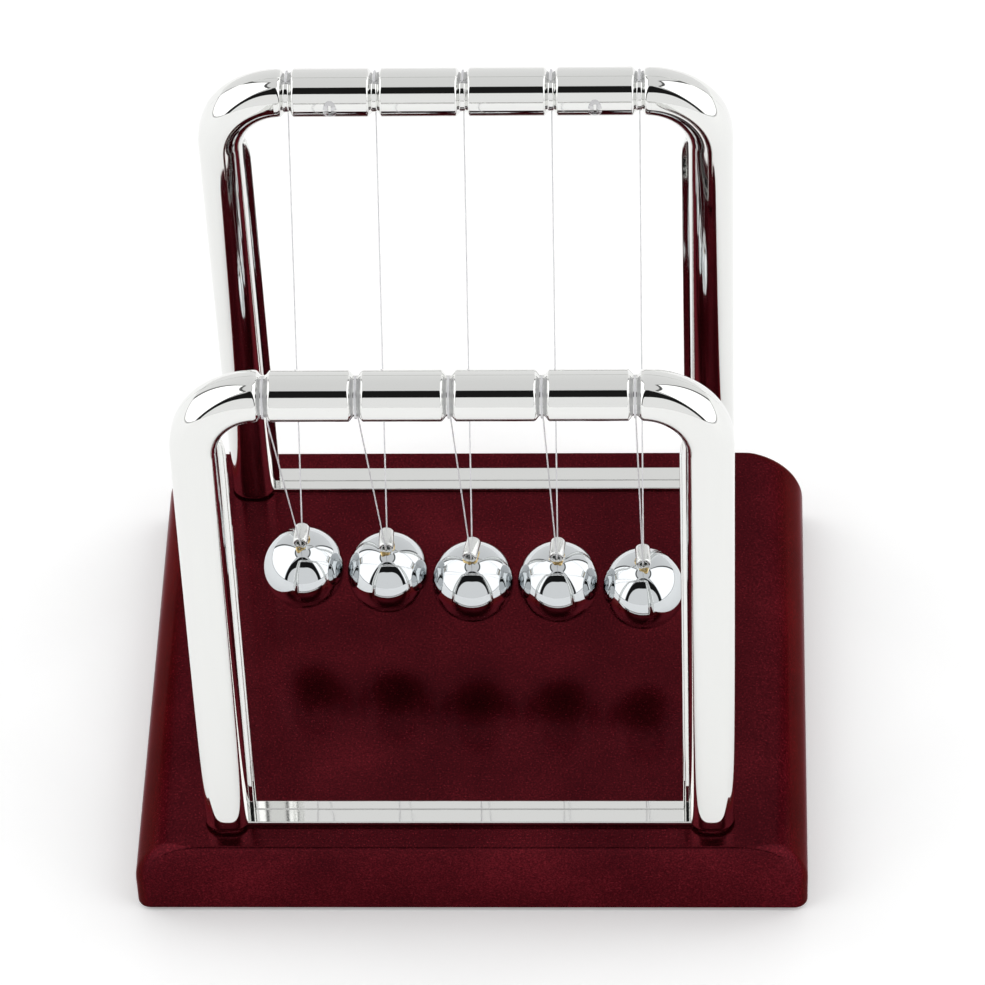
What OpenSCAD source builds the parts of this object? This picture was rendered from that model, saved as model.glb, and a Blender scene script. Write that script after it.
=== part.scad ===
// Newton's cradle on a moulded base: two plated arch frames, each made of two half shells,
// carry five steel balls on V-shaped lines. Millimetres. X runs along the row of balls,
// Y from the front frame to the rear frame, Z up. Z = 0 is the underside of the pad.

/* [Part] */
// sub-part to show, or all

/* [Base] */
// width of the base, along the row
base_w = 128.8; // [110:0.1:150]
// depth of the base
base_d = 104.8; // [90:0.1:120]
// height of the base, pad included
base_h = 18.5; // [14:0.1:22]
// round-over along the left and right top edges
edge_r = 11.5; // [6:0.1:13]
// radius of the four upright corners
corner_r = 2.6; // [1:0.1:6]
// wall of the moulding
wall = 2.4; // [1.6:0.1:3.5]
// thickness of the soft pad under the base
pad_t = 0.8; // [0.5:0.1:2]

/* [Frames] */
// height of the top bar's axis above the base
bar_h = 109.5; // [90:0.1:120]
// overall width of an arch
frame_w = 101.2; // [90:0.1:115]
// distance of each arch's feet from the middle plane
foot_y = 43.8; // [38:0.1:48]
// distance of each top bar's axis from the middle plane
bar_y = 39.7; // [36:0.1:46]
// half width of the oval tube, in the plane of the arch
tube_b = 4.45; // [3:0.01:5]
// half depth of the oval tube, across the arch
tube_a = 4.9; // [4.5:0.1:7]
// wall of the half shells
shell_t = 1.4; // [1:0.1:2]
// centre-line radius of the corner bends
bend_r = 12; // [9:0.1:16]
// how far the foot strip reaches out and in from the arch's middle
strip_out = 3.1; // [1.5:0.1:4]
strip_in = 2.5; // [1.5:0.1:4]
// height of the foot strip between the legs
strip_h = 1.1; // [0.8:0.1:5]
// how far the ribs stand in from the legs, on the outer and on the inner half shell
rib_outer = 0.5; // [0.2:0.1:2]
rib_inner = 1.4; // [0.5:0.1:3]

/* [Balls] */
// distance between neighbouring lines
pitch = 16.5; // [12:0.1:22]
// ball diameter
ball_d = 15.875; // [11:0.005:21.5]
// height of the ball centres above the base
ball_h = 19.4; // [14:0.1:30]
// sideways place of each ball in the row, from the first to the last
row_y = [2.4, 1.1, -1.4, -1.5, -3.3];
// outside diameter of the small tube on each ball
eye_d = 2.9; // [2:0.1:4]
// length of the small tube
eye_l = 4.4; // [3:0.1:8]
// bore of the small tube
eye_bore = 1.3; // [0.8:0.1:2]
// line diameter
line_d = 0.4; // [0.3:0.05:0.8]
// depth of the line grooves round the top bars
groove_d = 0.9; // [0.5:0.1:1]
// width of the grooves
groove_w = 1.8; // [1:0.1:2.4]

/* [Hidden] */
$fn = 96;
eps = 0.02;
half_w = base_w/2;
half_d = base_d/2;
skin_h = base_h - pad_t;                 // height of the moulding itself
cover_t = 1.6;
cover_z = pad_t;
weight = [92, 66, 6];
screw_x = 51;                            // cover screws
screw_y = 30;
lean = atan((foot_y - bar_y)/bar_h);     // each arch leans in
arch_h = bar_h/cos(lean);                // bar axis, measured up the arch
leg_x = frame_w/2 - tube_b;              // leg axis
leg_l = arch_h - bend_r;                 // straight part of a leg
bar_l = 2*(leg_x - bend_r);              // straight part of the bar
oval_n = 28;                             // flats of the oval tube
part_q = -0.8;                           // joint face of the two half shells
part_gap = 0.02;
plug_h = 12;                             // solid foot of each leg
foot_q = 1.9;                            // foot screw, out from the leg's axis
bar_screw_x = pitch*1.5;
bar_screw_p = 0;
eye_z = ball_d/2 + eye_d/2 - 0.35;       // tube axis above the ball's centre
ball_z = base_h + ball_h;
pivot_z = base_h + bar_h - tube_b - 0.15;
line_r = line_d/2;
bend_ball = line_r + 0.04;               // rounds the bends of a line

// ---------- base ----------

// end view of the base: flat sides, rounded top edges; s is the inset of its faces
module base_profile(s) {
    r = edge_r - s;
    w = half_w - s;
    h = skin_h - s;
    difference() {
        translate([-w, 0]) square([2*w, h]);
        for (m = [0, 1]) mirror([m, 0]) difference() {
            translate([w - r, h - r]) square([r + 1, r + 1]);
            translate([w - r, h - r]) circle(r);
        }
    }
}

// plan view of the base with rounded corners
module base_plan(s) {
    r = max(corner_r - s, 0.6);
    w = half_w - s;
    d = half_d - s;
    square([2*(w - r), 2*d], center = true);
    square([2*w, 2*(d - r)], center = true);
    for (x = [-1, 1], y = [-1, 1]) translate([x*(w - r), y*(d - r)]) circle(r);
}

module base_block(s) {
    intersection() {
        rotate([90, 0, 0]) linear_extrude(2*base_d, center = true) base_profile(s);
        linear_extrude(base_h) base_plan(s);
    }
}

module at_cover_screws() {
    for (x = [-1, 1], y = [-1, 1]) translate([x*screw_x, y*screw_y, 0]) children();
}

module at_feet() {
    for (m = [0, 1]) mirror([0, m, 0]) for (x = [-1, 1])
        translate([0, -foot_y, base_h]) rotate([-lean, 0, 0])
            translate([x*leg_x, -foot_q, 0]) children();
}

module base_shell() {
    color([0.36, 0.05, 0.09]) difference() {
        translate([0, 0, pad_t]) union() {
            difference() {
                base_block(0);
                translate([0, 0, -eps]) base_block(wall);
            }
            // posts for the cover screws
            difference() {
                at_cover_screws() translate([0, 0, cover_t]) cylinder(h = skin_h - cover_t - 1, r = 3.4);
                at_cover_screws() cylinder(h = 9, r = 1.25);
            }
        }
        at_feet() translate([0, 0, -6]) cylinder(h = 12, r = 1.75);
    }
}

module base_cover() {
    color([0.12, 0.12, 0.13]) translate([0, 0, cover_z]) difference() {
        linear_extrude(cover_t - eps) base_plan(wall + 0.1);
        at_cover_screws() translate([0, 0, -1]) cylinder(h = 4, r = 1.65);
        at_cover_screws() translate([0, 0, -1]) cylinder(h = 1.8, r = 2.7);
    }
}

module base_weight() {
    color([0.45, 0.46, 0.48]) translate([-weight[0]/2, -weight[1]/2, cover_z + cover_t])
        cube(weight);
}

module base_pad() {
    color([0.08, 0.08, 0.08]) linear_extrude(pad_t - eps) base_plan(1.0);
}

module cover_screws() {
    color([0.55, 0.56, 0.58]) at_cover_screws() translate([0, 0, cover_z + 0.05]) {
        difference() {
            cylinder(h = 0.7, r = 2.5);
            for (a = [0, 90]) rotate(a) translate([-1.4, -0.25, -1]) cube([2.8, 0.5, 1.3]);
        }
        cylinder(h = 8, r = 1.2);
    }
}

module foot_screws() {
    color([0.55, 0.56, 0.58]) at_feet() translate([0, 0, -wall - 0.2]) {
        translate([0, 0, -1.8]) difference() {
            cylinder(h = 1.8, r = 2.8);
            for (a = [0, 90]) rotate(a) translate([-1.6, -0.3, -1]) cube([3.2, 0.6, 1.9]);
        }
        cylinder(h = 11, r = 1.45);
    }
}

// ---------- arches ----------

// oval tube section; first axis in the plane of the arch, second axis outwards;
// s is the inset of its outline
module oval(s) {
    polygon([for (i = [0.5:oval_n]) let (t = i*360/oval_n)
        [(tube_b - s)*cos(t), 0.2 + (tube_a - s)*sin(t)]]);
}

// one half of the oval on its own side of the joint face, hollow or solid
module half_oval(outer, solid = false) {
    intersection() {
        difference() {
            oval(0);
            if (!solid) oval(shell_t);
        }
        if (outer) translate([-20, part_q + part_gap/2]) square([40, 20]);
        else translate([-20, part_q - part_gap/2 - 20]) square([40, 20]);
    }
}

// the arch swept along its path: legs, bends and bar
module sweep(outer) {
    for (m = [0, 1]) mirror([m, 0, 0]) {
        translate([leg_x, 0, -2]) linear_extrude(leg_l + 2) mirror([0, 1]) half_oval(outer);
        translate([leg_x - bend_r, 0, leg_l]) rotate([90, 0, 0])
            rotate_extrude(angle = 90) translate([bend_r, 0]) half_oval(outer);
        if (outer) translate([leg_x, 0, -2]) linear_extrude(plug_h + 2)
            mirror([0, 1]) half_oval(outer, true);
    }
    translate([-bar_l/2, 0, arch_h]) rotate([90, 0, 90]) linear_extrude(bar_l)
        rotate(90) half_oval(outer);
}

// grooves round the bar that hold the lines
module groove_cut() {
    for (i = [-2:2]) translate([i*pitch, 0, arch_h]) rotate([90, 0, 90])
        linear_extrude(groove_w, center = true) rotate(90) difference() {
            oval(-1);
            oval(groove_d);
        }
}

// foot strip between the legs and the ribs up their inner sides, on one half shell
module strip_and_ribs(outer) {
    joint = outer ? -part_q - part_gap/2 : -part_q + part_gap/2;
    y0 = outer ? -strip_out : joint;
    y1 = outer ? joint : strip_in;
    r0 = outer ? -0.2 : joint;
    r1 = outer ? joint : 1.9;
    w = outer ? rib_outer : rib_inner;
    side = leg_x - tube_b;
    translate([-(side + 1), y0, -2]) cube([2*(side + 1), y1 - y0, strip_h + 2]);
    for (m = [0, 1]) mirror([m, 0, 0])
        translate([side - w, r0, -2]) cube([w + 0.7, r1 - r0, leg_l + 0.5]);
}

module bare_shell(outer) {
    difference() {
        sweep(outer);
        groove_cut();
    }
}

module outer_shell() {
    difference() {
        union() {
            bare_shell(true);
            strip_and_ribs(true);
            at_bar_screws() translate([0, -4.2, 0]) rotate([-90, 0, 0])
                cylinder(h = 4.2 - part_q - part_gap, r = 2.0);
        }
        at_bar_screws() translate([0, -part_q - 3.2, 0]) rotate([-90, 0, 0]) cylinder(h = 6, r = 0.95);
        for (x = [-1, 1]) translate([x*leg_x, -foot_q, -3]) cylinder(h = 13, r = 1.5);
    }
}

module inner_shell() {
    difference() {
        union() {
            bare_shell(false);
            strip_and_ribs(false);
        }
        at_bar_screws() rotate([-90, 0, 0]) cylinder(h = 12, r = 1.2);
        at_bar_screws() translate([0, 3.6, 0]) rotate([-90, 0, 0]) cylinder(h = 12, r = 2.2);
    }
}

module at_bar_screws() {
    for (x = [-1, 1]) translate([x*bar_screw_x, 0, arch_h + bar_screw_p]) children();
}

// stands an arch on the base, leaning in, and cuts its feet level
module stand(rear) {
    mirror([0, rear ? 1 : 0, 0]) intersection() {
        translate([0, -foot_y, base_h]) rotate([-lean, 0, 0]) children();
        translate([-base_w, -base_d, base_h + eps]) cube([2*base_w, base_d, 2*bar_h]);
    }
}

module front_frame_outer() { color([0.82, 0.83, 0.84]) stand(false) outer_shell(); }
module front_frame_inner() { color([0.74, 0.75, 0.77]) stand(false) inner_shell(); }
module rear_frame_outer() { color([0.82, 0.83, 0.84]) stand(true) outer_shell(); }
module rear_frame_inner() { color([0.74, 0.75, 0.77]) stand(true) inner_shell(); }

// pan-head screws that hold the half shells together, driven from the balls' side
module bar_screws() {
    at_bar_screws() {
        translate([0, 3.65, 0]) rotate([-90, 0, 0]) difference() {
            intersection() {
                cylinder(h = 1.4, r = 2.05);
                translate([0, 0, -1.6]) sphere(r = 2.95);
            }
            for (a = [0, 90]) rotate(a) translate([-1.3, -0.25, 0.7]) cube([2.6, 0.5, 2]);
        }
        translate([0, -2.2, 0]) rotate([-90, 0, 0]) cylinder(h = 5.9, r = 0.9);
    }
}

module front_bar_screws() { color([0.6, 0.6, 0.62]) stand(false) bar_screws(); }
module rear_bar_screws() { color([0.6, 0.6, 0.62]) stand(true) bar_screws(); }

// the parts of the lines that lie in the grooves, from the joint face round the outer
// side to the underside, each with a short tail that meets the hanging part
module line_wraps() {
    for (i = [-2:2]) translate([i*pitch, 0, arch_h]) {
        rotate([90, 0, 90]) linear_extrude(line_d, center = true) rotate(90) intersection() {
            difference() {
                oval(groove_d - line_d);
                oval(groove_d - 0.01);
            }
            union() {
                translate([0, part_q + 0.05]) square([20, 20]);
                translate([-20, -0.2]) square([21, 20]);
            }
        }
        translate([0, 0, -tube_b + 0.15]) cylinder(h = groove_d - 0.25, r = line_r);
    }
}

module front_line_ends() { color([0.85, 0.86, 0.88]) stand(false) line_wraps(); }
module rear_line_ends() { color([0.85, 0.86, 0.88]) stand(true) line_wraps(); }

// ---------- balls ----------

// moves to ball i of the row, 1 to 5
module at_ball(i) { translate([(i - 3)*pitch, row_y[i - 1], ball_z]) children(); }

module ball(i) {
    color([0.8, 0.81, 0.83]) at_ball(i) difference() {
        sphere(d = ball_d);
        translate([0, 0, eye_z]) rotate([90, 0, 0]) cylinder(h = ball_d, d = eye_d + 0.02, center = true);
    }
}

module line_eye(i) {
    color([0.8, 0.78, 0.72]) at_ball(i) translate([0, 0, eye_z]) rotate([90, 0, 0]) difference() {
        cylinder(h = eye_l, d = eye_d, center = true);
        cylinder(h = eye_l + 1, d = eye_bore, center = true);
    }
}

// straight round piece between two points with equal X
module strand(a, b) {
    dy = b[1] - a[1];
    dz = b[2] - a[2];
    translate(a) {
        rotate([atan2(-dy, dz), 0, 0]) cylinder(h = sqrt(dy*dy + dz*dz), r = line_r);
        sphere(r = bend_ball);
    }
}

// hanging part of a line: down from the front bar, through the eye and up to the rear bar
module line(i) {
    x = (i - 3)*pitch;
    y = row_y[i - 1];
    z = ball_z + eye_z;
    e = eye_l/2 + 0.25;
    color([0.85, 0.86, 0.88]) {
        strand([x, -bar_y, pivot_z], [x, y - e, z]);
        strand([x, y - e, z], [x, y + e, z]);
        strand([x, bar_y, pivot_z], [x, y + e, z]);
        translate([x, y + e, z]) sphere(r = bend_ball);
    }
}

base_shell();
base_cover();
base_weight();
base_pad();
cover_screws();
foot_screws();
front_frame_outer();
front_frame_inner();
rear_frame_outer();
rear_frame_inner();
front_bar_screws();
rear_bar_screws();
front_line_ends();
rear_line_ends();
ball(1);  // ball_1
ball(2);  // ball_2
ball(3);  // ball_3
ball(4);  // ball_4
ball(5);  // ball_5
line_eye(1);  // line_eye_1
line_eye(2);  // line_eye_2
line_eye(3);  // line_eye_3
line_eye(4);  // line_eye_4
line_eye(5);  // line_eye_5
line(1);  // line_1
line(2);  // line_2
line(3);  // line_3
line(4);  // line_4
line(5);  // line_5
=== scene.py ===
"""Newton's cradle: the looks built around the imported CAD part. Metres, Z up."""
import math

import bmesh
import bpy
from mathutils import Matrix, Vector


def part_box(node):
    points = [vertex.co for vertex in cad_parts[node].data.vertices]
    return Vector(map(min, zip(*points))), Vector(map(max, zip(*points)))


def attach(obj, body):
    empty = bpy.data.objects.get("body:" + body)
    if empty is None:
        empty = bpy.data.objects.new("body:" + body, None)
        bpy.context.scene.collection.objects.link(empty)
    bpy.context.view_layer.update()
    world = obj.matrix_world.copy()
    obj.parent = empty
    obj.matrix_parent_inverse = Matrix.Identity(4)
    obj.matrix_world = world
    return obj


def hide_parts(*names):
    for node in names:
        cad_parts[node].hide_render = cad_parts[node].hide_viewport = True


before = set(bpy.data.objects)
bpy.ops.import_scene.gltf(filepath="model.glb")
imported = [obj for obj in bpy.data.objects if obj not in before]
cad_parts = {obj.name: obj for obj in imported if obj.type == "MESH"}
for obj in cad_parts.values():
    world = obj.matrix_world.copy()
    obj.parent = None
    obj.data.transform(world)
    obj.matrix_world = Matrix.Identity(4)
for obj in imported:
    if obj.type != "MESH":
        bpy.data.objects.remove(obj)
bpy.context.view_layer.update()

MM = 0.001

# ---------- driving dimensions, in millimetres, as in the CAD ----------
WALL = 2.4            # base moulding
EDGE_R = 11.5         # round-over of the base's left and right edges
CORNER_R = 2.6        # upright corners of the base
CREASE_R = 0.7        # front and back top edges of the base
TUBE_B = 4.44         # half height of the oval tube at the bar
LEG_B = 4.44          # half width of the legs
LEG_FULL = 2.7        # the legs are a fuller oval than the bar, whose power is 2
TUBE_A = 4.9          # half depth of the oval tube
TUBE_SHIFT = 0.2      # the oval sits this far outwards
SHELL_T = 1.4         # wall of the half shells
BEND_R = 12.0         # bends of the arches, at the middle of the tube
PART_Q = -0.3         # joint face of the half shells
JOINT_GAP = 0.03      # each half stops this far short of the joint face
FOOT_GAP = 0.02       # and this far above the base
FOOT_NECK = 0.8       # the feet are relieved by this much just above the base
FOOT_NECK_FLAT = 0.55 # up to this height, and back to full width at the next
FOOT_NECK_H = 0.9
STRIP_OUT = 3.1       # foot strip, out from and in from the middle of the arch
STRIP_IN = 2.5
STRIP_H = 1.0
RIB_OUT = 0.65        # ribs on the legs' inner sides
RIB_IN = 1.0
RIB_FRONT = -0.35     # the ribs' depth, out from and in from the middle of the arch
RIB_BACK = 1.3
PITCH = 16.5          # spacing of the lines
GROOVE_D = 0.95       # depth of the grooves in the bars
GROOVE_W = 1.4        # half width of a groove at the surface
GROOVE_FLOOR = 0.3    # half width of its floor
EYE_BORE = 1.3        # hole of the small tubes
EYE_YAW = (-3.0, 1.0, -10.0, -4.0, 3.0)   # degrees; each tube is brazed on slightly askew
LINE_R = 0.14
LINE_BEND = 0.35      # rounds the bends of a line
FLOOR_HALF = 6000.0
SKIN_STEPS = 56       # points round a half shell, outside and inside
LINING_STEPS = 20

# ---------- camera ----------
PICTURE_PX = 985.0
FOCAL_PX = 5592.0
SENSOR_W = 36.0
CAMERA_AT = (49.6, -736.1, 830.8)
CAMERA_YAW, CAMERA_PITCH, CAMERA_ROLL = -3.508, 46.215, 2.676   # degrees


def mm_box(node):
    """A CAD node's corners in millimetres."""
    lo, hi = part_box(node)
    return [c / MM for c in lo], [c / MM for c in hi]


base_lo, base_hi = mm_box("base_shell")
BASE_W = base_hi[0]
BASE_D = base_hi[1]
BASE_BOTTOM = base_lo[2]
BASE_TOP = base_hi[2]
_, arch_hi = mm_box("front_frame_outer")
LEG_X = arch_hi[0] - LEG_B
FOOT_Y = 43.8         # middle of the tube at the base and at the bar
BAR_Y = 39.7
BAR_H = 109.5         # middle of the bar above the base
LEAN = math.atan((FOOT_Y - BAR_Y) / BAR_H)
ARCH_H = BAR_H / math.cos(LEAN)
LEG_L = ARCH_H - BEND_R


# ---------- mesh helpers ----------

def new_object(name, bm, material, sharp_deg=38.0):
    """Turns a bmesh in millimetres into a smooth-shaded object in metres."""
    bmesh.ops.remove_doubles(bm, verts=bm.verts, dist=1e-4)
    bmesh.ops.recalc_face_normals(bm, faces=bm.faces)
    limit = math.radians(sharp_deg)
    for e in bm.edges:
        e.smooth = not (len(e.link_faces) == 2 and e.calc_face_angle(0.0) > limit)
    for f in bm.faces:
        f.smooth = True
    bmesh.ops.scale(bm, vec=Vector((MM, MM, MM)), verts=bm.verts)
    mesh = bpy.data.meshes.new(name)
    bm.to_mesh(mesh)
    bm.free()
    obj = bpy.data.objects.new(name, mesh)
    bpy.context.scene.collection.objects.link(obj)
    obj.data.materials.append(material)
    return obj


def loft(bm, rings, close_ends=True):
    """Skins a list of equally long point rings."""
    rows = [[bm.verts.new(p) for p in ring] for ring in rings]
    n = len(rows[0])
    for a, b in zip(rows, rows[1:]):
        for i in range(n):
            j = (i + 1) % n
            bm.faces.new((a[i], a[j], b[j], b[i]))
    if close_ends:
        bm.faces.new(rows[0])
        bm.faces.new(list(reversed(rows[-1])))
    return rows


# ---------- materials ----------

def shader(name, color, metallic=0.0, roughness=0.4, **sockets):
    mat = bpy.data.materials.new(name)
    mat.use_nodes = True
    tree = mat.node_tree
    bsdf = tree.nodes["Principled BSDF"]
    bsdf.inputs["Base Color"].default_value = (*color, 1.0)
    bsdf.inputs["Metallic"].default_value = metallic
    bsdf.inputs["Roughness"].default_value = roughness
    for key, value in sockets.items():
        bsdf.inputs[key.replace("_", " ")].default_value = value
    return mat, tree, bsdf


def noise(tree, scale, detail=3.0, rough=0.5):
    """Noise whose scale is in features per metre."""
    node = tree.nodes.new("ShaderNodeTexNoise")
    node.inputs["Scale"].default_value = scale
    node.inputs["Detail"].default_value = detail
    node.inputs["Roughness"].default_value = rough
    where = tree.nodes.new("ShaderNodeTexCoord")
    tree.links.new(where.outputs["Object"], node.inputs["Vector"])
    return node


def ramp(tree, source, stops):
    node = tree.nodes.new("ShaderNodeValToRGB")
    tree.links.new(source, node.inputs["Fac"])
    el = node.color_ramp.elements
    while len(el) < len(stops):
        el.new(0.5)
    for e, (pos, col) in zip(el, stops):
        e.position = pos
        e.color = (*col, 1.0) if len(col) == 3 else col
    return node.outputs["Color"]


def span(tree, source, low, high):
    """Maps 0..1 noise to low..high."""
    node = tree.nodes.new("ShaderNodeMapRange")
    node.inputs["To Min"].default_value = low
    node.inputs["To Max"].default_value = high
    tree.links.new(source, node.inputs["Value"])
    return node.outputs["Result"]


def bump(tree, bsdf, source, strength, distance):
    node = tree.nodes.new("ShaderNodeBump")
    node.inputs["Strength"].default_value = strength
    node.inputs["Distance"].default_value = distance
    tree.links.new(source, node.inputs["Height"])
    tree.links.new(node.outputs["Normal"], bsdf.inputs["Normal"])


def plated_plastic():
    mat, tree, bsdf = shader("plated_frame", (0.80, 0.805, 0.79), 1.0, 0.05)
    haze = noise(tree, 90.0, 4.0)
    tree.links.new(span(tree, haze.outputs["Fac"], 0.015, 0.06), bsdf.inputs["Roughness"])
    wave = noise(tree, 260.0, 2.0)
    bump(tree, bsdf, wave.outputs["Fac"], 0.05, 0.00005)
    return mat


def ball_steel():
    mat, tree, bsdf = shader("ball_steel", (0.63, 0.655, 0.67), 1.0, 0.04)
    haze = noise(tree, 300.0, 3.0)
    tree.links.new(span(tree, haze.outputs["Fac"], 0.015, 0.05), bsdf.inputs["Roughness"])
    return mat


def eye_steel():
    mat, tree, bsdf = shader("eye_steel", (0.74, 0.75, 0.74), 1.0, 0.2)
    haze = noise(tree, 900.0, 3.0)
    tree.links.new(span(tree, haze.outputs["Fac"], 0.12, 0.3), bsdf.inputs["Roughness"])
    bump(tree, bsdf, haze.outputs["Fac"], 0.3, 0.00004)
    return mat


def braze_gold():
    mat, tree, bsdf = shader("braze", (0.55, 0.38, 0.14), 1.0, 0.28)
    spots = noise(tree, 1400.0, 4.0)
    colour = ramp(tree, spots.outputs["Fac"], [(0.35, (0.16, 0.09, 0.03)), (0.6, (0.72, 0.55, 0.26))])
    tree.links.new(colour, bsdf.inputs["Base Color"])
    bump(tree, bsdf, spots.outputs["Fac"], 0.6, 0.00008)
    return mat


def screw_steel():
    mat, tree, bsdf = shader("screw_steel", (0.62, 0.62, 0.63), 1.0, 0.22)
    haze = noise(tree, 1200.0, 3.0)
    tree.links.new(span(tree, haze.outputs["Fac"], 0.15, 0.35), bsdf.inputs["Roughness"])
    return mat


def base_paint():
    """Dark red metallic lacquer: fine flakes under a thin clear coat."""
    mat, tree, bsdf = shader("base_paint", (0.062, 0.004, 0.007), 0.92, 0.26,
                             Coat_Weight=0.04, Coat_Roughness=0.1, Coat_IOR=1.45,
                             Specular_IOR_Level=0.1, Specular_Tint=(0.55, 0.28, 0.3, 1.0))
    flakes = noise(tree, 2600.0, 2.0, 0.7)
    clouds = noise(tree, 55.0, 3.0)
    mix = tree.nodes.new("ShaderNodeMix")
    mix.data_type = "FLOAT"
    mix.inputs[0].default_value = 0.3
    tree.links.new(flakes.outputs["Fac"], mix.inputs[2])
    tree.links.new(clouds.outputs["Fac"], mix.inputs[3])
    colour = ramp(tree, mix.outputs[0], [(0.34, (0.032, 0.002, 0.0045)),
                                         (0.5, (0.062, 0.0042, 0.0075)),
                                         (0.66, (0.130, 0.010, 0.016))])
    tree.links.new(colour, bsdf.inputs["Base Color"])
    tree.links.new(span(tree, flakes.outputs["Fac"], 0.18, 0.32), bsdf.inputs["Roughness"])
    bump(tree, bsdf, flakes.outputs["Fac"], 0.12, 0.00003)
    return mat


def nylon_line():
    mat, tree, bsdf = shader("nylon_line", (0.86, 0.86, 0.88), 0.0, 0.25,
                             Transmission_Weight=0.35, IOR=1.53)
    haze = noise(tree, 700.0, 2.0)
    colour = ramp(tree, haze.outputs["Fac"], [(0.3, (0.80, 0.80, 0.83)), (0.7, (0.95, 0.95, 0.96))])
    tree.links.new(colour, bsdf.inputs["Base Color"])
    return mat


def dull(name, color, roughness, grain, metallic=0.0):
    mat, tree, bsdf = shader(name, color, metallic, roughness)
    n = noise(tree, grain, 4.0)
    dark = tuple(c * 0.75 for c in color)
    light = tuple(min(1.0, c * 1.25) for c in color)
    colour = ramp(tree, n.outputs["Fac"], [(0.35, dark), (0.65, light)])
    tree.links.new(colour, bsdf.inputs["Base Color"])
    bump(tree, bsdf, n.outputs["Fac"], 0.25, 0.0001)
    return mat


CHROME = plated_plastic()
BALL = ball_steel()
EYE = eye_steel()
BRAZE = braze_gold()
SCREW = screw_steel()
PAINT = base_paint()
NYLON = nylon_line()
COVER = dull("black_plastic", (0.03, 0.03, 0.03), 0.55, 900.0)
PAD = dull("foam_pad", (0.02, 0.02, 0.02), 0.9, 1500.0)
WEIGHT = dull("weight_steel", (0.35, 0.35, 0.36), 0.4, 400.0, 1.0)


def dress(node, material):
    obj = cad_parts[node]
    obj.data.materials.clear()
    obj.data.materials.append(material)


# ---------- base ----------

def base_ring(z, s, steps=10):
    """Plan outline of the base at height z above its rim, inset by s."""
    top = BASE_TOP - BASE_BOTTOM - s
    r = EDGE_R - s
    w = BASE_W - s
    d = BASE_D - s
    rise = z - (top - r)
    if rise > 0:
        w -= r - math.sqrt(max(0.0, r * r - rise * rise))
    e = CREASE_R
    rise = z - (top - e)
    if rise > 0:
        d -= e - math.sqrt(max(0.0, e * e - rise * rise))
    rc = max(CORNER_R - s, 0.6)
    pts = []
    for sx, sy, start in ((1, 1, 0), (-1, 1, 90), (-1, -1, 180), (1, -1, 270)):
        for k in range(steps + 1):
            t = math.radians(start + 90.0 * k / steps)
            pts.append(Vector((sx * (w - rc) + rc * math.cos(t), sy * (d - rc) + rc * math.sin(t),
                               BASE_BOTTOM + z)))
    return pts


def base_levels(s):
    top = BASE_TOP - BASE_BOTTOM - s
    r = EDGE_R - s
    levels = [0.0, 0.15, 0.5, 2.0, (top - r) * 0.6, top - r]
    steps = 44
    for k in range(1, steps + 1):
        levels.append(top - r + r * math.sin(math.radians(90.0 * k / steps)))
    return levels


def build_base():
    bm = bmesh.new()
    outer = [base_ring(z, 0.0) for z in base_levels(0.0)]
    # a fine chamfer round the rim
    for p in outer[0]:
        p.x -= math.copysign(0.15, p.x)
        p.y -= math.copysign(0.15, p.y)
    inner = [base_ring(z, WALL) for z in base_levels(WALL)]
    rings = list(reversed(inner)) + outer
    rows = loft(bm, rings, close_ends=False)
    for row in (rows[0], rows[-1]):
        centre = sum((v.co for v in row), Vector()) / len(row)
        inset = [bm.verts.new(v.co.lerp(centre, 0.04)) for v in row]
        n = len(row)
        for i in range(n):
            j = (i + 1) % n
            bm.faces.new((row[i], row[j], inset[j], inset[i]))
        bm.faces.new(inset)
    obj = new_object("base_moulding", bm, PAINT, 30.0)
    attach(obj, "stand")
    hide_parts("base_shell")


# ---------- arches ----------

def arch_path():
    """Stations along an arch: (x, z, outward normal x, outward normal z, half width, fullness)."""
    out = []
    for z in (0.0, 0.3, 0.55, 0.65, 0.75, 0.85, 1.0, 1.4):
        out.append((LEG_X, z, 1.0, 0.0, LEG_B, LEG_FULL))
    for k in range(1, 13):
        out.append((LEG_X, LEG_L * k / 12.0, 1.0, 0.0, LEG_B, LEG_FULL))
    for k in range(1, 33):
        t = math.radians(90.0 * k / 32)
        grow = 0.5 - 0.5 * math.cos(math.pi * k / 32)
        out.append((LEG_X - BEND_R + BEND_R * math.cos(t), LEG_L + BEND_R * math.sin(t),
                    math.cos(t), math.sin(t), LEG_B + grow * (TUBE_B - LEG_B),
                    LEG_FULL + grow * (2.0 - LEG_FULL)))
    half = LEG_X - BEND_R
    xs = {0.0, 0.5 * PITCH, 1.5 * PITCH}
    for i in range(0, 3):
        for k in range(-26, 27):
            x = i * PITCH + k * 0.1
            if 0 <= x < half:
                xs.add(round(x, 3))
    for x in sorted(xs, reverse=True):
        out.append((x, ARCH_H, 0.0, 1.0, TUBE_B, 2.0))
    return out + [(-x, z, -nx, nz, b, full) for x, z, nx, nz, b, full in reversed(out) if x > 0]


def groove_depth(x):
    """Rounded notch round the bar at each line."""
    d = min(abs(x - i * PITCH) for i in range(-2, 3))
    if d >= GROOVE_W:
        return 0.0
    if d <= GROOVE_FLOOR:
        return GROOVE_D
    return GROOVE_D * (0.5 + 0.5 * math.cos(math.pi * (d - GROOVE_FLOOR) / (GROOVE_W - GROOVE_FLOOR)))


def place(p, rear):
    """From an arch's own plane to the part: lean in, stand on the base, mirror for the rear."""
    x, y, z = p
    c, s = math.cos(LEAN), math.sin(LEAN)
    yy, zz = y * c + z * s - FOOT_Y, -y * s + z * c + BASE_TOP
    return Vector((x, -yy if rear else yy, zz))


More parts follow.
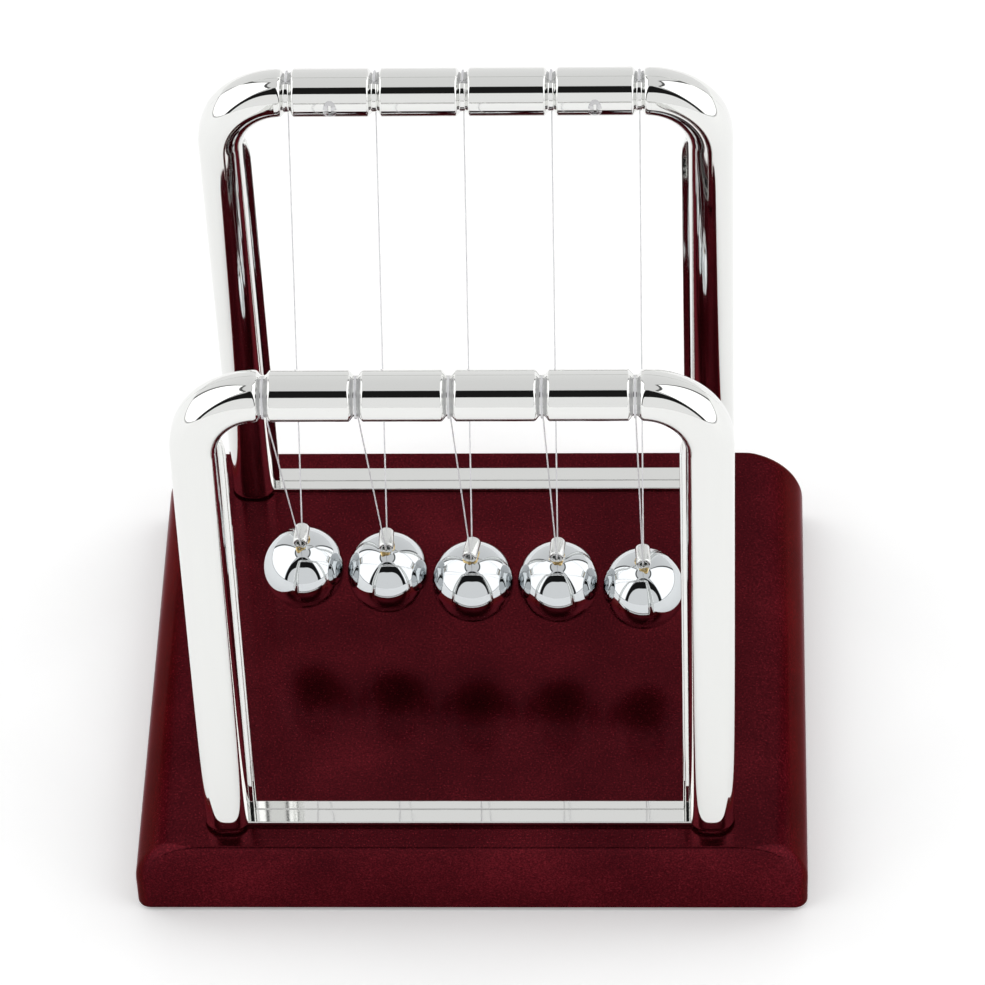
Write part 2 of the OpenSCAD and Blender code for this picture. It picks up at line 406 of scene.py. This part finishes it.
def section(outer, half, inset, n, full=2.0):
    """Half oval from one side of the joint face to the other, as (in-plane, outward) pairs."""
    b, a = half - inset, TUBE_A - inset
    t0 = math.asin((PART_Q - TUBE_SHIFT) / a)
    if outer:
        ts = [t0 + (math.pi - 2 * t0) * k / n for k in range(n + 1)]
    else:
        ts = [t0 - (math.pi + 2 * t0) * k / n for k in range(n + 1)]
    out = []
    for t in ts:
        c, s = math.cos(t), math.sin(t)
        k = (abs(c) ** full + abs(s) ** full) ** (-1.0 / full)
        out.append((b * c * k, TUBE_SHIFT + a * s * k))
    return out


def half_arch(name, outer, rear):
    bm = bmesh.new()
    rings = []
    nudge = JOINT_GAP if outer else -JOINT_GAP
    for x, z, nx, nz, half, full in arch_path():
        g = groove_depth(x) if z > LEG_L + BEND_R - 0.4 else 0.0
        if z < FOOT_NECK_H:
            u = min(1.0, max(0.0, (z - FOOT_NECK_FLAT) / (FOOT_NECK_H - FOOT_NECK_FLAT)))
            g = FOOT_NECK * (1.0 - u * u * (3.0 - 2.0 * u))
        skin = section(outer, half, g, SKIN_STEPS, full)
        # a small lip closes the shell at the joint face
        lip = [(p * 0.99, PART_Q + nudge) for p, _ in (skin[0], skin[-1])]
        skin[0] = (skin[0][0], PART_Q + 2.2 * nudge)
        skin[-1] = (skin[-1][0], PART_Q + 2.2 * nudge)
        inside = section(outer, half, SHELL_T, LINING_STEPS, full)
        inside[0] = (inside[0][0], PART_Q + nudge)
        inside[-1] = (inside[-1][0], PART_Q + nudge)
        loop = [lip[0]] + skin + [lip[1]] + list(reversed(inside))
        rings.append([place((x + p * nx, -q, z + p * nz), rear) for p, q in loop])
    # the feet end level on the base
    for ring in (rings[0], rings[-1]):
        for p in ring:
            p.z = BASE_TOP + FOOT_GAP
    loft(bm, rings)
    obj = new_object(name, bm, CHROME, 40.0)
    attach(obj, "stand")
    return obj


def flange(name, outer, rear):
    """Foot strip on the base and the ribs up the legs' inner sides, on one half shell."""
    side = LEG_X - LEG_B
    if outer:
        rib, y0, y1 = RIB_OUT, -STRIP_OUT, -PART_Q - JOINT_GAP
        r0, r1 = RIB_FRONT, -PART_Q - JOINT_GAP
    else:
        rib, y0, y1 = RIB_IN, -PART_Q + JOINT_GAP, STRIP_IN
        r0, r1 = -PART_Q + JOINT_GAP, RIB_BACK
    top = LEG_L + 0.5
    bm = bmesh.new()

    def slab(outline, ya, yb):
        near = [bm.verts.new(place((x, ya, z), rear)) for x, z in outline]
        far = [bm.verts.new(place((x, yb, z), rear)) for x, z in outline]
        for v in near + far:
            v.co.z = max(v.co.z, BASE_TOP + FOOT_GAP)
        n = len(outline)
        for i in range(n):
            j = (i + 1) % n
            bm.faces.new((near[i], near[j], far[j], far[i]))
        bm.faces.new(near)
        bm.faces.new(list(reversed(far)))

    slab([(-side - 1, 0), (side + 1, 0), (side + 1, STRIP_H), (-side - 1, STRIP_H)], y0, y1)
    for sx in (-1, 1):
        inner = side - rib
        pts = [(side + 0.4, STRIP_H - 0.2), (inner, STRIP_H - 0.2)]
        pts += [(inner, top - 4.0), (inner + 0.15 * rib, top - 2.0), (inner + 0.5 * rib, top - 0.6),
                (inner + rib, top), (side + 0.4, top)]
        slab([(sx * x, z) for x, z in pts], r0, r1)
    obj = new_object(name, bm, CHROME, 35.0)
    bevel = obj.modifiers.new("edge", "BEVEL")
    bevel.width = (0.4 if outer else 0.25) * MM
    bevel.segments = 4
    bevel.limit_method = "ANGLE"
    bevel.angle_limit = math.radians(40)
    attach(obj, "stand")
    return obj


def build_arches():
    for side, rear in (("front", False), ("rear", True)):
        outer = half_arch(f"{side}_arch_outer", True, rear)
        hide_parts(f"{side}_frame_outer")
        inner = half_arch(f"{side}_arch_inner", False, rear)
        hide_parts(f"{side}_frame_inner")
        flange(f"{side}_strip_outer", True, rear)
        flange(f"{side}_strip_inner", False, rear)


# ---------- balls ----------

def build_ball(i):
    lo, hi = mm_box(f"ball_{i}")
    centre = Vector([(a + b) / 2 for a, b in zip(lo, hi)])
    radius = (hi[0] - lo[0]) / 2
    centre.z = lo[2] + radius
    body = f"pendulum_{i}"
    bm = bmesh.new()
    bmesh.ops.create_uvsphere(bm, u_segments=96, v_segments=64, radius=radius,
                              matrix=Matrix.Translation(centre))
    ball = new_object(f"steel_ball_{i}", bm, BALL, 60.0)
    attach(ball, body)
    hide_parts(f"ball_{i}")

    # the tube: rounded ends, drilled through
    lo, hi = mm_box(f"line_eye_{i}")
    cx, cz = (lo[0] + hi[0]) / 2, (lo[2] + hi[2]) / 2
    y0, y1 = lo[1], hi[1]
    middle = Vector((cx, (y0 + y1) / 2, 0))
    askew = Matrix.Rotation(math.radians(EYE_YAW[i - 1]), 4, "Z")
    turn = Matrix.Translation(middle) @ askew @ Matrix.Translation(-middle)
    r, bore, lip = (hi[0] - lo[0]) / 2, EYE_BORE / 2, 0.3
    outline = [(bore, y0 + 0.3), (bore + 0.12, y0 + 0.05)]
    for k in range(5):
        t = math.radians(90.0 * k / 4)
        outline.append((r - lip + lip * math.sin(t), y0 + lip - lip * math.cos(t)))
    outline += [(rr, y0 + y1 - yy) for rr, yy in reversed(outline)]
    bm = bmesh.new()
    rings = []
    for rr, yy in outline + [outline[0]]:
        rings.append([Vector((cx + rr * math.cos(2 * math.pi * k / 40), yy,
                              cz + rr * math.sin(2 * math.pi * k / 40))) for k in range(40)])
    loft(bm, rings, close_ends=False)
    bmesh.ops.transform(bm, matrix=turn, verts=bm.verts)
    eye = new_object(f"eye_tube_{i}", bm, EYE, 40.0)
    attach(eye, body)
    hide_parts(f"line_eye_{i}")

    # braze: a thin uneven fillet where the tube sits on the ball
    bm = bmesh.new()
    rings = []
    n = 48
    for k in range(n):
        t = 2 * math.pi * k / n
        wob = 1.0 + 0.10 * math.sin(3 * t + i) + 0.06 * math.sin(7 * t + 2 * i)
        ex, ey = (r * 0.72) * math.cos(t) * wob, ((y1 - y0) / 2 + 0.15) * math.sin(t) * wob
        foot = Vector((cx + ex, (y0 + y1) / 2 + ey, 0))
        h = radius * radius - (foot.x - centre.x) ** 2 - (foot.y - centre.y) ** 2
        foot.z = centre.z + math.sqrt(h)
        outward = (foot - centre).normalized()
        side = Vector((math.cos(t), math.sin(t), 0))
        width = 0.42 * wob
        ring = []
        for m in range(8):
            a = 2 * math.pi * m / 8
            ring.append(foot + side * (width * math.cos(a)) + outward * (0.16 * math.sin(a) + 0.02))
        rings.append(ring)
    loft(bm, rings + [rings[0]], close_ends=False)
    bmesh.ops.transform(bm, matrix=turn, verts=bm.verts)
    braze = new_object(f"braze_{i}", bm, BRAZE, 60.0)
    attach(braze, body)


# ---------- lines ----------

def tube_along(bm, pts, radius, sides=12):
    """Round rod along a bent path that stays in one X plane."""
    rings = []
    for k, p in enumerate(pts):
        back, ahead = pts[max(k - 1, 0)], pts[min(k + 1, len(pts) - 1)]
        d = (ahead - back).normalized()
        across = Vector((1, 0, 0))
        third = d.cross(across).normalized()
        rings.append([p + radius * (math.cos(2 * math.pi * m / sides) * across
                                    + math.sin(2 * math.pi * m / sides) * third) for m in range(sides)])
    loft(bm, rings)


def build_line(i):
    """Hanging line: down from the front bar, through the small tube, up to the rear bar."""
    lo, hi = mm_box(f"line_{i}")
    eye_lo, eye_hi = mm_box(f"line_eye_{i}")
    x = (lo[0] + hi[0]) / 2
    z_eye = (eye_lo[2] + eye_hi[2]) / 2
    top = hi[2] - 0.2
    y_front, y_rear = lo[1] + 0.2, hi[1] - 0.2
    corners = [Vector((x, y_front, top)), Vector((x, eye_lo[1] - 0.2, z_eye)),
               Vector((x, eye_hi[1] + 0.2, z_eye)), Vector((x, y_rear, top))]
    pts = [corners[0]]
    for a, c, b in zip(corners, corners[1:], corners[2:]):
        near_a = c + (a - c).normalized() * LINE_BEND
        near_b = c + (b - c).normalized() * LINE_BEND
        for k in range(7):
            t = k / 6
            pts.append(near_a * (1 - t) ** 2 + c * (2 * t * (1 - t)) + near_b * t ** 2)
    pts.append(corners[-1])
    bm = bmesh.new()
    tube_along(bm, pts, LINE_R)
    obj = new_object(f"nylon_{i}", bm, NYLON, 60.0)
    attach(obj, f"pendulum_{i}")
    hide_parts(f"line_{i}")


# ---------- studio ----------

def build_floor():
    bm = bmesh.new()
    for x, y in ((-1, -1), (1, -1), (1, 1), (-1, 1)):
        bm.verts.new((x * FLOOR_HALF, y * FLOOR_HALF, 0.0))
    bm.faces.new(bm.verts)
    mat, tree, bsdf = shader("floor_white", (0.93, 0.93, 0.93), 0.0, 0.7,
                             Emission_Color=(1.0, 1.0, 1.0, 1.0), Emission_Strength=0.17)
    n = noise(tree, 30.0, 2.0)
    colour = ramp(tree, n.outputs["Fac"], [(0.3, (0.93, 0.93, 0.93)), (0.7, (0.94, 0.94, 0.94))])
    tree.links.new(colour, bsdf.inputs["Base Color"])
    floor = new_object("floor", bm, mat, 60.0)


def build_world():
    """White tent: a soft box on either side, a dark arch round a pale board in front, grey above.

    Angles are in degrees: elevation above the horizon, azimuth from straight in front.
    """
    world = bpy.data.worlds.new("studio")
    bpy.context.scene.world = world
    world.use_nodes = True
    tree = world.node_tree
    background = tree.nodes["Background"]
    tc = tree.nodes.new("ShaderNodeTexCoord")
    sep = tree.nodes.new("ShaderNodeSeparateXYZ")
    tree.links.new(tc.outputs["Generated"], sep.inputs["Vector"])

    def math_node(op, a, b=None, c=None):
        node = tree.nodes.new("ShaderNodeMath")
        node.operation = op
        for k, v in enumerate((a, b, c)):
            if v is None:
                continue
            if isinstance(v, (int, float)):
                node.inputs[k].default_value = v
            else:
                tree.links.new(v, node.inputs[k])
        return node.outputs[0]

    x, y, z = sep.outputs["X"], sep.outputs["Y"], sep.outputs["Z"]
    elevation = math_node("MULTIPLY", math_node("ARCSINE", z), 180.0 / math.pi)
    front = math_node("MULTIPLY", y, -1.0)
    azimuth = math_node("MULTIPLY", math_node("ARCTAN2", x, front), 180.0 / math.pi)
    off = math_node("ABSOLUTE", azimuth)

    def inside(value, low, high, soft):
        """1 between low and high, with soft edges."""
        up = tree.nodes.new("ShaderNodeMapRange")
        up.interpolation_type = "SMOOTHSTEP"
        up.inputs["From Min"].default_value = low - soft
        up.inputs["From Max"].default_value = low + soft
        tree.links.new(value, up.inputs["Value"])
        down = tree.nodes.new("ShaderNodeMapRange")
        down.interpolation_type = "SMOOTHSTEP"
        down.inputs["From Min"].default_value = high - soft
        down.inputs["From Max"].default_value = high + soft
        down.inputs["To Min"].default_value = 1.0
        down.inputs["To Max"].default_value = 0.0
        tree.links.new(value, down.inputs["Value"])
        return math_node("MULTIPLY", up.outputs[0], down.outputs[0])

    # grey ceiling, brighter towards the horizon
    level = math_node("MULTIPLY_ADD", z, -0.14, 0.92)

    def put(area, value):
        """Blends the level towards a value where area is 1."""
        keep = math_node("SUBTRACT", 1.0, area)
        return math_node("ADD", math_node("MULTIPLY", level, keep), math_node("MULTIPLY", area, value))

    def rounded(half_az, top_el, low_el, soft):
        """1 on an upright board with rounded shoulders, straight in front."""
        u = math_node("POWER", math_node("DIVIDE", off, half_az), 3.2)
        lift = math_node("MAXIMUM", math_node("SUBTRACT", elevation, low_el), 0.0)
        v = math_node("POWER", math_node("DIVIDE", lift, top_el - low_el), 3.2)
        return inside(math_node("ADD", u, v), -9.0, 1.0, soft)

    level = put(rounded(50.0, 76.0, 10.0, 0.035), 0.012)
    # soft boxes left and right, each with a thin dark rim
    rim = math_node("MULTIPLY", inside(elevation, -1.0, 72.5, 0.7), inside(off, 47.5, 133.0, 0.7))
    level = put(rim, 0.1)
    box = math_node("MULTIPLY", inside(elevation, 1.0, 69.0, 0.8), inside(off, 49.5, 129.0, 0.8))
    level = put(box, 1.6)
    level = put(rounded(41.0, 46.5, 0.0, 0.03), 0.93)
    # below the horizon the world is pale
    level = put(inside(elevation, -100.0, 0.0, 0.5), 0.9)
    tree.links.new(level, background.inputs["Strength"])
    background.inputs["Color"].default_value = (1.0, 1.0, 1.0, 1.0)


def build_camera():
    yaw, pitch, roll = (math.radians(a) for a in (CAMERA_YAW, CAMERA_PITCH, CAMERA_ROLL))
    data = bpy.data.cameras.new("camera")
    data.sensor_width = SENSOR_W
    data.lens = SENSOR_W * FOCAL_PX / PICTURE_PX
    data.clip_start = 0.01
    data.clip_end = 100.0
    cam = bpy.data.objects.new("camera", data)
    bpy.context.scene.collection.objects.link(cam)
    turn = (Matrix.Rotation(-yaw, 4, "Z") @ Matrix.Rotation(math.pi / 2 - pitch, 4, "X")
            @ Matrix.Rotation(-roll, 4, "Z"))
    cam.matrix_world = Matrix.Translation(Vector(CAMERA_AT) * MM) @ turn
    bpy.context.scene.camera = cam


build_base()
build_arches()
for number in range(1, 6):
    build_ball(number)
    build_line(number)
dress("base_cover", COVER)
dress("base_pad", PAD)
dress("base_weight", WEIGHT)
for node in ("cover_screws", "foot_screws", "front_bar_screws", "rear_bar_screws"):
    dress(node, SCREW)
for node in ("front_line_ends", "rear_line_ends"):
    dress(node, NYLON)
build_floor()
build_world()
build_camera()
bpy.context.scene.view_settings.view_transform = "Standard"
